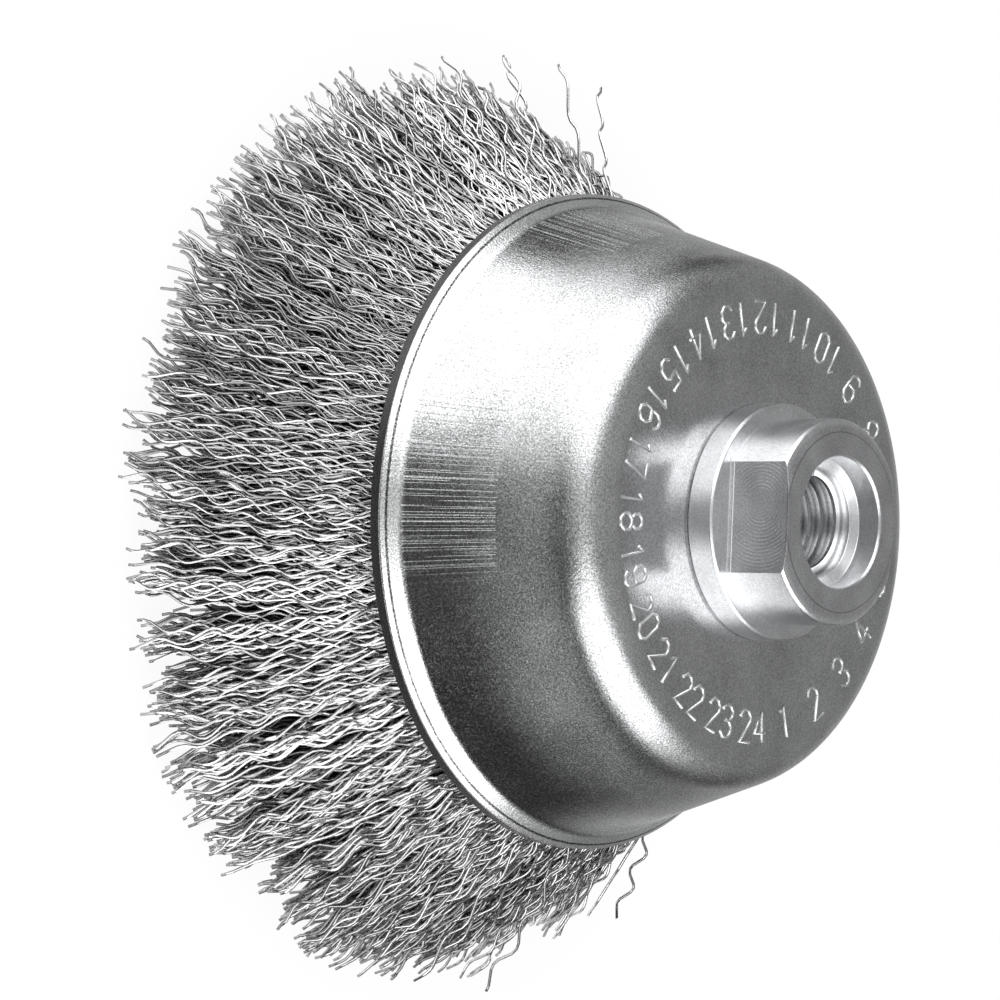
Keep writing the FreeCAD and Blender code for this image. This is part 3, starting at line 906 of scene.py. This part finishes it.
def wire_centres(bearings, depths, rings, wave_corners, stray_tips=None):
    """Centre lines, (wire, ring, xyz), of crimped wires from the channel to the wire face.

    A depth of 0 is the outermost wire and 1 the innermost. Stray tips are the heights that
    stray wires end at. The result also has a unit vector across each ring.
    """
    count = len(bearings)
    side = np.where(depths < 0.5, 1.0, -1.0)
    layer = LAYER_REACH[0] + (LAYER_REACH[1] - LAYER_REACH[0]) * np.abs(1 - 2 * depths)
    leave_height = np.where(side > 0, RIM_PLANE, SKIRT_FOOT)
    leave_radius = (RING_RADIUS + (RING_HEIGHT - leave_height) * math.tan(WALL_LEAN)
                    + side * layer / math.cos(WALL_LEAN))
    clump_round, draw = clumps(bearings, depths)
    tip_height, tip_radius, loose = tip_places(bearings, depths, side, draw, stray_tips)

    chord = np.arctan2(tip_radius - leave_radius, leave_height - tip_height)
    length = np.hypot(tip_radius - leave_radius, leave_height - tip_height)
    end_lean = (chord * length - WALL_LEAN * KNEE_LENGTH / 2) / (length - KNEE_LENGTH / 2)
    travelled, swing = crimp_steps(length, draw, rings, wave_corners)
    lean = WALL_LEAN + column(end_lean - WALL_LEAN) * np.clip(travelled / KNEE_LENGTH, 0, 1)
    run = np.diff(travelled, axis=1)
    middle_lean = (lean[:, 1:] + lean[:, :-1]) / 2
    start = travelled[:, :1]
    zero = np.zeros((count, 1))
    radius = (column(leave_radius) + start * math.sin(WALL_LEAN)
              + np.hstack([zero, np.cumsum(run * np.sin(middle_lean), axis=1)]))
    height = (column(leave_height) - start * math.cos(WALL_LEAN)
              - np.hstack([zero, np.cumsum(run * np.cos(middle_lean), axis=1)]))

    share = np.clip(travelled / column(length), 0, 1)
    clump_middle = (clump_round + 0.5) / CLUMPS_ROUND * 2 * np.pi
    pull = (clump_middle - bearings + np.pi) % (2 * np.pi) - np.pi
    sway = (HELIX + np.clip(pull, -CLUMP_PULL_LIMIT, CLUMP_PULL_LIMIT) * CLUMP_PULL
            + draw[3] * CLUMP_SWAY
            + chance.normal(0, 1, count) * np.where(loose, LOOSE_SWAY, OWN_SWAY))
    turn = column(bearings) + column(sway) * share ** SWAY_BEND
    outward = np.stack([np.cos(turn), np.sin(turn), 0 * turn], axis=-1)
    around = np.stack([-np.sin(turn), np.cos(turn), 0 * turn], axis=-1)
    upward = np.array([0.0, 0.0, 1.0])
    across = outward * np.cos(lean)[..., None] + upward * np.sin(lean)[..., None]
    crimp_plane = (draw[4] * CRIMP_PLANE + chance.normal(0, CRIMP_PLANE, count))[:, None, None]
    crimp = around * np.cos(crimp_plane) + across * np.sin(crimp_plane)
    centres = outward * radius[..., None] + upward * height[..., None] + crimp * swing[..., None]
    lift = np.maximum(0, LOWEST_TIP - centres[..., 2].min(axis=1))
    return centres + upward * lift[:, None, None], across


def fold_centres(bearings, layers):
    """Centre lines of wires folded over the holding ring, with both legs in the channel."""
    out = np.array([math.cos(WALL_LEAN), math.sin(WALL_LEAN)])
    down = np.array([math.sin(WALL_LEAN), -math.cos(WALL_LEAN)])
    ring = np.array([RING_RADIUS, RING_HEIGHT])
    outer_leg = (RING_HEIGHT - RIM_PLANE - FOLD_LEG_GAP) / math.cos(WALL_LEAN)
    inner_leg = (RING_HEIGHT - SKIRT_FOOT - FOLD_LEG_GAP) / math.cos(WALL_LEAN)
    places = [ring + out * column(layers) + down * outer_leg]
    normals = [out]
    for bend in np.radians(FOLD_BENDS):
        normal = out * math.cos(bend) - down * math.sin(bend)
        places.append(ring + normal * column(layers))
        normals.append(normal)
    places.append(ring - out * column(layers) + down * inner_leg)
    normals.append(-out)
    places = np.stack(places, axis=1)
    turn = column(bearings)

    def turned_about_axis(flat):
        return np.stack([flat[..., 0] * np.cos(turn), flat[..., 0] * np.sin(turn),
                         flat[..., 1]], axis=-1)

    return turned_about_axis(places), turned_about_axis(np.broadcast_to(normals, places.shape))


def laid_wires(centres, across):
    """Corners and faces of copies of a straight wire laid along the centre lines."""
    corners, faces = straight_wire(centres.shape[1])
    ahead = unit(np.gradient(centres, axis=1))
    side = unit(across - ahead * np.sum(across * ahead, axis=-1, keepdims=True))
    other = np.cross(ahead, side)
    ring = np.rint(corners[:, 2]).astype(int)
    laid = (centres[:, ring]
            + side[:, ring] * (WIRE_RADIUS * corners[:, 0])[None, :, None]
            + other[:, ring] * (WIRE_RADIUS * corners[:, 1])[None, :, None])
    return laid, faces


def spread_bearings(count):
    """Bearings spread evenly round the brush, each moved a little."""
    return (np.arange(count) + chance.uniform(0, 1, count)) * 2 * np.pi / count


def wire_group(count, low, high, rings, wave_corners):
    """Bearings, tones, corners and faces of a group of crimped wires between two depths, the
    tones darkened by painted shade by depth.
    """
    bearings = spread_bearings(count)
    depths = low + (high - low) * chance.uniform(0, 1, count)
    laid, faces = laid_wires(*wire_centres(bearings, depths, rings, wave_corners))
    # Painted shade: wires deeper under the nearer face are painted darker
    painted_shade = np.interp(np.minimum(depths, 1 - depths), PAINTED_SHADE_DEPTHS, PAINTED_SHADE_LEVELS)
    return bearings, chance.uniform(*WIRE_TONES, count) * painted_shade, laid, faces


def fold_group():
    """The folds over the holding ring, spread over the channel's depth, their low tones painted
    shade.
    """
    bearings = spread_bearings(FOLDS)
    laid, faces = laid_wires(*fold_centres(bearings, chance.uniform(*LAYER_REACH, FOLDS)))
    return bearings, chance.uniform(*SHADED_FOLD_TONES, FOLDS), laid, faces


def stray_group():
    """A few outer wires that stick out by themselves."""
    bearings, heights = np.array(STRAYS).T
    bearings = NEAR_BEARING - np.radians(bearings)
    laid, faces = laid_wires(*wire_centres(bearings, np.zeros(len(STRAYS)), STRAY_RINGS,
                                           STRAY_WAVE_CORNERS, heights * MM))
    return bearings % (2 * np.pi), chance.uniform(*STRAY_TONES, len(STRAYS)), laid, faces


def sector_of(bearings):
    """Which sector of neighbouring bundles each bearing falls in."""
    bundle = np.rint(bearings / (2 * np.pi) * len(BUNDLES)).astype(int) % len(BUNDLES)
    return bundle // (len(BUNDLES) // SECTORS)


def sector_piece(name, groups, sector):
    """One piece with every wire of a sector, each wire with a tone of its own that holds its
    painted shade.
    """
    corners, faces, tones = [], [], []
    start = 0
    for bearings, wire_tones, laid, wire_faces in groups:
        inside = sector_of(bearings) == sector
        own = laid[inside]
        corners.append(own.reshape(-1, 3))
        tones.append(np.repeat(wire_tones[inside], own.shape[1]))
        for _ in own:
            faces.extend([corner + start for corner in face] for face in wire_faces)
            start += own.shape[1]
    mesh = bpy.data.meshes.new(name)
    mesh.from_pydata(np.concatenate(corners).tolist(), [], faces)
    tone = mesh.attributes.new("tone", "FLOAT", "POINT")
    tone.data.foreach_set("value", np.concatenate(tones).astype(np.float32))
    mesh.polygons.foreach_set("use_smooth", np.ones(len(mesh.polygons), dtype=bool))
    mesh.update()
    piece = bpy.data.objects.new(name, mesh)
    bpy.context.collection.objects.link(piece)
    return piece


def make_wires():
    groups = [wire_group(*group) for group in WIRE_GROUPS]
    groups += [fold_group(), stray_group()]
    material = metal(crimped_wire)
    per_sector = len(BUNDLES) // SECTORS
    for sector in range(SECTORS):
        piece = sector_piece(f"wire_sector_{sector + 1}", groups, sector)
        finish_piece(piece, material)
        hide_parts(*BUNDLES[sector * per_sector:(sector + 1) * per_sector])


# Studio

CAMERA_RIGHT, CAMERA_UP, CAMERA_BACK = -12.56 * MM, 2.79 * MM, 680.9 * MM
LENS, SENSOR = 188.75, 36.0
# Softboxes: bearing from the near side, elevation, width, height and radiance
SOFTBOXES = {"softbox_upper": (64, 8, 0.82, 1.3, 2.2), "softbox_lower": (-65, 36, 0.80, 0.6, 2.5)}
SOFTBOX_DISTANCE = 0.6
# What the metal mirrors of the studio: levels of its walls, and where they are lit or dark
WALL_LEVEL, OVERHEAD_GAIN, LIT_FRONT_GAIN = 0.3, 0.12, 0.16
BACKDROP_LEVEL = 0.45
FILL_LEVEL = 0.35
LIT_FRONT, DARK_GAP = (50, 50), (121, -22)
DARK_FRONT_SHARE, DARK_BELOW_SHARE, DARK_GAP_SHARE = 0.75, 0.9, 0.8
# Cosines of the angles that each of them fades in over
BACKDROP_FADE, HALO_FADE, OVERHEAD_FADE = (0.97, 0.995), (0.65, 0.85), (0.6, 1.0)
LIT_FRONT_FADE, LIT_WALL_FADE, DARK_FRONT_FADE = (0.5, 0.75), (0.3, 0.8), (0.1, 0.75)
DARK_BELOW_FADE, DARK_GAP_FADE, HORIZON_FADE = (0.3, 0.8), (0.86, 0.96), (-0.1, 0.3)
# The floor: size, drop below the wires, share of white, and where it fades to full white
FLOOR_RADIUS = 72 * MM
FLOOR_DROP = 0.3 * MM
FLOOR_WHITE = 0.94
FLOOR_FADE = (FLOOR_RADIUS * 0.8, FLOOR_RADIUS * 0.98)


def make_camera():
    """The camera looks down at the cup, rolled so that the nut is to the right."""
    right = AXIS * math.sin(VIEW_TILT) - NEAR * math.cos(VIEW_TILT)
    back = AXIS * math.cos(VIEW_TILT) + NEAR * math.sin(VIEW_TILT)
    place = AXIS * RIM_PLANE + right * CAMERA_RIGHT + ACROSS * CAMERA_UP + back * CAMERA_BACK
    lens = bpy.data.cameras.new("camera")
    lens.lens = LENS
    lens.sensor_width = SENSOR
    lens.clip_start = 10 * MM
    camera = bpy.data.objects.new("camera", lens)
    bpy.context.collection.objects.link(camera)
    turn = Matrix((right, ACROSS, back)).transposed().to_4x4()
    camera.matrix_world = Matrix.Translation(place) @ turn
    bpy.context.scene.camera = camera


def softbox(name, bearing, elevation, width, height, radiance):
    """A soft area light that faces the brush."""
    light = bpy.data.lights.new(name, "AREA")
    light.shape = "RECTANGLE"
    light.size, light.size_y = width, height
    light.energy = radiance * math.pi * width * height
    lamp = bpy.data.objects.new(name, light)
    bpy.context.collection.objects.link(lamp)
    towards = direction(bearing, elevation)
    place = AXIS * RIM_PLANE + towards * SOFTBOX_DISTANCE
    turn = towards.to_track_quat("Z", "Y").to_matrix().to_4x4()
    lamp.matrix_world = Matrix.Translation(place) @ turn


def make_world():
    """White behind the brush, grey walls beside it and a dark studio in front and below."""
    world = bpy.data.worlds.new("studio")
    bpy.context.scene.world = world
    nodes = Nodes(world)
    camera_ray, glossy_ray, clear_ray = nodes.rays("Camera", "Glossy", "Transmission")
    look = nodes.add("ShaderNodeTexCoord", output="Generated")

    def facing(towards):
        return nodes.add("ShaderNodeVectorMath", {"operation": "DOT_PRODUCT"},
                         {0: look, 1: tuple(towards)}, output="Value")

    behind = facing(-(AXIS * math.cos(VIEW_TILT) + NEAR * math.sin(VIEW_TILT)))
    backdrop = behind.rise(*BACKDROP_FADE) + behind.rise(*HALO_FADE) * BACKDROP_LEVEL
    above = facing(AXIS)
    in_front = facing(NEAR)
    lit_front = facing(direction(*LIT_FRONT)).rise(*LIT_FRONT_FADE)
    dark_front = in_front.rise(*DARK_FRONT_FADE) * (1 - lit_front)
    dark_below = facing(-ACROSS).rise(*DARK_BELOW_FADE) * (1 - above.rise(*HORIZON_FADE))
    dark_gap = facing(direction(*DARK_GAP)).rise(*DARK_GAP_FADE)
    walls = (WALL_LEVEL + above.rise(*OVERHEAD_FADE) * OVERHEAD_GAIN
             + lit_front * in_front.rise(*LIT_WALL_FADE) * LIT_FRONT_GAIN)
    for dark, share in ((dark_front, DARK_FRONT_SHARE), (dark_below, DARK_BELOW_SHARE),
                        (dark_gap, DARK_GAP_SHARE)):
        walls = walls * (1 - dark * share)
    mirrored = backdrop.math("MAXIMUM", walls)
    seen = camera_ray + clear_ray
    level = seen + (1 - seen) * (glossy_ray * mirrored + (1 - glossy_ray) * FILL_LEVEL)
    background = nodes.tree.nodes["Background"]
    nodes.feed(background.inputs["Color"], (1, 1, 1, 1))
    nodes.feed(background.inputs["Strength"], level)
    world.cycles.sampling_method = "NONE"


def make_floor():
    """A pale disc under the wires, as white as the background, and open seen from below."""
    deselect_all()
    bpy.ops.mesh.primitive_circle_add(vertices=64, radius=FLOOR_RADIUS, fill_type="NGON",
                                      location=(0, 0, -FLOOR_DROP))
    floor = bpy.context.object
    floor.name = "floor"
    settle(floor)
    material = bpy.data.materials.new("pale_floor")
    nodes = Nodes(material)
    nodes.tree.nodes.remove(nodes.tree.nodes["Principled BSDF"])
    _, _, _, radius = nodes.parts(nodes.place())
    camera_ray, glossy_ray, clear_ray = nodes.rays("Camera", "Glossy", "Transmission")
    seen = (camera_ray + glossy_ray + clear_ray).math("MINIMUM", 1.0)
    faded = radius.rise(*FLOOR_FADE)
    share = seen * (FLOOR_WHITE + faded * (1 - FLOOR_WHITE))
    white = nodes.add("ShaderNodeEmission", inputs={"Color": (1, 1, 1, 1), "Strength": 1.0})
    matt = nodes.add("ShaderNodeBsdfDiffuse", inputs={"Color": (0.9, 0.9, 0.9, 1)})
    top = nodes.add("ShaderNodeMixShader", inputs={0: share, 1: matt, 2: white})
    underneath = nodes.add("ShaderNodeNewGeometry", output="Backfacing")
    clear = nodes.add("ShaderNodeBsdfTransparent")
    shader = nodes.add("ShaderNodeMixShader", inputs={0: underneath, 1: top, 2: clear})
    nodes.feed(nodes.tree.nodes["Material Output"].inputs["Surface"], shader)
    floor.data.materials.append(material)


make_cup()
dress("inner_plate", metal(inner_sheet))
dress("holding_ring", metal(drawn_wire))
make_spindle_nut()
make_numbers()
make_wires()
make_world()
make_floor()
for name, settings in SOFTBOXES.items():
    softbox(name, *settings)
make_camera()
bpy.context.scene.view_settings.view_transform = "Standard"

bpy.context.view_layer.update()
